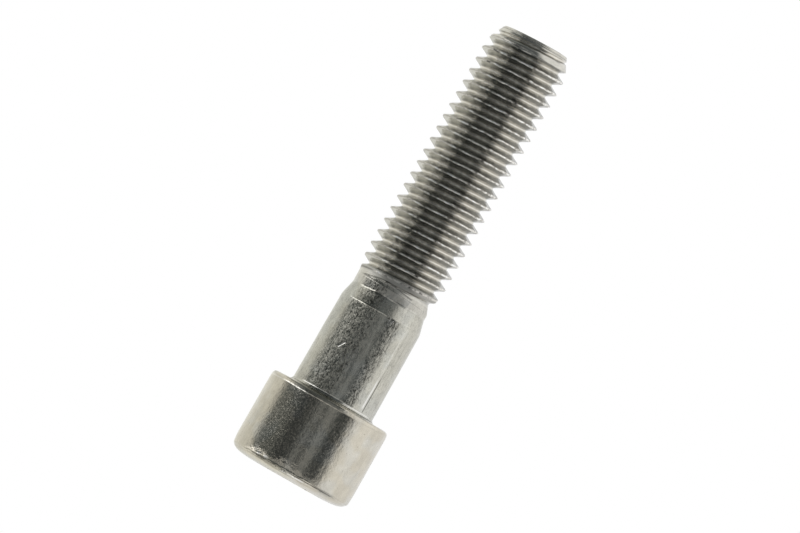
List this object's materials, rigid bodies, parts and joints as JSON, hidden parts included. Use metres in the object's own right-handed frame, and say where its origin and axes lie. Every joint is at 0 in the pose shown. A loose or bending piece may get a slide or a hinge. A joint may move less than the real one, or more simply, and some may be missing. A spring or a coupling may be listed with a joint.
{
  "type": "hex socket cap screw",
  "caption": "Metric hex socket cap screw with a tall round head, a plain shank, a necked run-out and a rolled right-hand thread.",
  "frame": {"origin": "centre of the bearing face under the head, on the screw's axis", "axes": "+Z along the axis from the head to the point; +X and +Y across it, with two corners of the hex socket on the X axis"},
  "size_m": [0.0176, 0.0174, 0.0669],
  "materials": {
    "stainless_steel": "satin, tumbled"
  },
  "bodies": {
    "root": {"cap_screw": "stainless_steel"}
  },
  "joints": []
}
